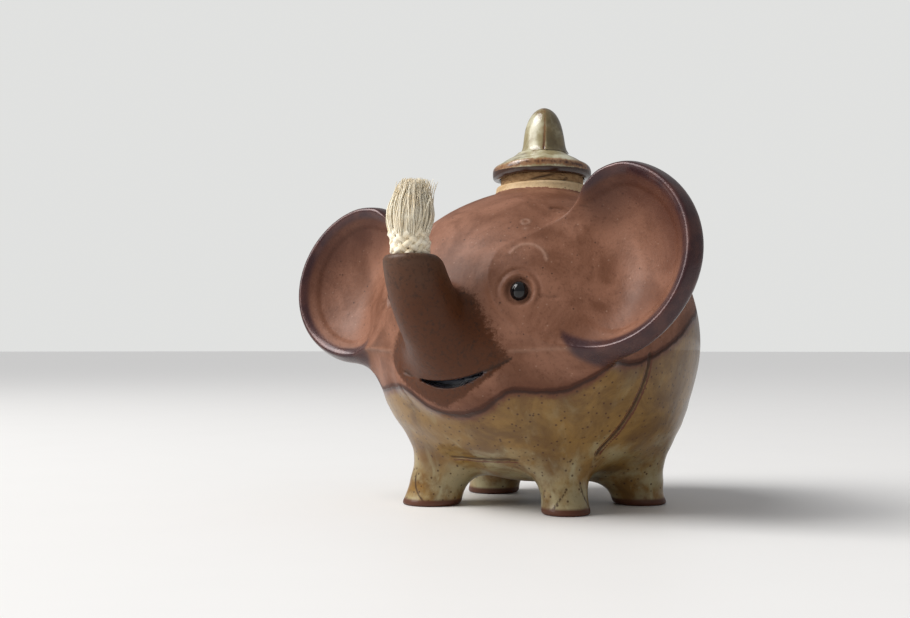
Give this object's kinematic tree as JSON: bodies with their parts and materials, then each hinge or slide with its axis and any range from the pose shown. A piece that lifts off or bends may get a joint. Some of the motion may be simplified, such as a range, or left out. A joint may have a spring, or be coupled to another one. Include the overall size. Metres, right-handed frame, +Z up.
{
  "type": "elephant oil lamp",
  "caption": "Round elephant-shaped stoneware lamp with cupped ears, a wick in the raised trunk tip and a corked stopper on the back.",
  "frame": {"origin": "on the table, under the middle of the whole lamp's width and length", "axes": "+Z up; the elephant looks along -Y, so its left ear is towards +X and its tail towards +Y"},
  "size_m": [0.144, 0.1325, 0.1268],
  "materials": {
    "brown_clay": "matte reddish-brown stoneware with fine dark speckles",
    "dark_clay": "satin dark brown stoneware",
    "green_glaze": "glossy olive and ochre glaze that breaks rust brown on edges",
    "stopper_glaze": "glossy pale green glaze with rust brown edges",
    "buff_rim": "thinly glazed buff stoneware",
    "cork": "dry tan cork with dark pores",
    "black_bead": "glossy black glaze",
    "cotton": "undyed cotton, plied below and frayed at the end"
  },
  "bodies": {
    "elephant": {"upper_shell": "brown_clay", "lower_shell": "green_glaze", "neck_collar": "buff_rim", "trunk": "dark_clay", "lower_lip": "brown_clay", "ear_left": "brown_clay", "ear_right": "brown_clay", "eye_left": "black_bead", "eye_right": "black_bead", "leg_front_left": "green_glaze", "leg_front_right": "green_glaze", "leg_rear_left": "green_glaze", "leg_rear_right": "green_glaze", "tail": "green_glaze"},
    "stopper": {"stopper_cap": "stopper_glaze", "stopper_knob": "stopper_glaze", "stopper_cork": "cork"},
    "wick": {"wick_cord": "cotton", "wick_tuft": "cotton"}
  },
  "joints": [
    {"name": "stopper_lift", "type": "slide", "parent": "elephant", "child": "stopper", "axis": [0, 0, 1], "range_m": [0, 0.04]},
    {"name": "wick_feed", "type": "hinge", "parent": "elephant", "child": "wick", "pos_m": [0, -0.01733, 0.086], "axis": [-1, 0, 0], "range_deg": [0, 8]}
  ]
}
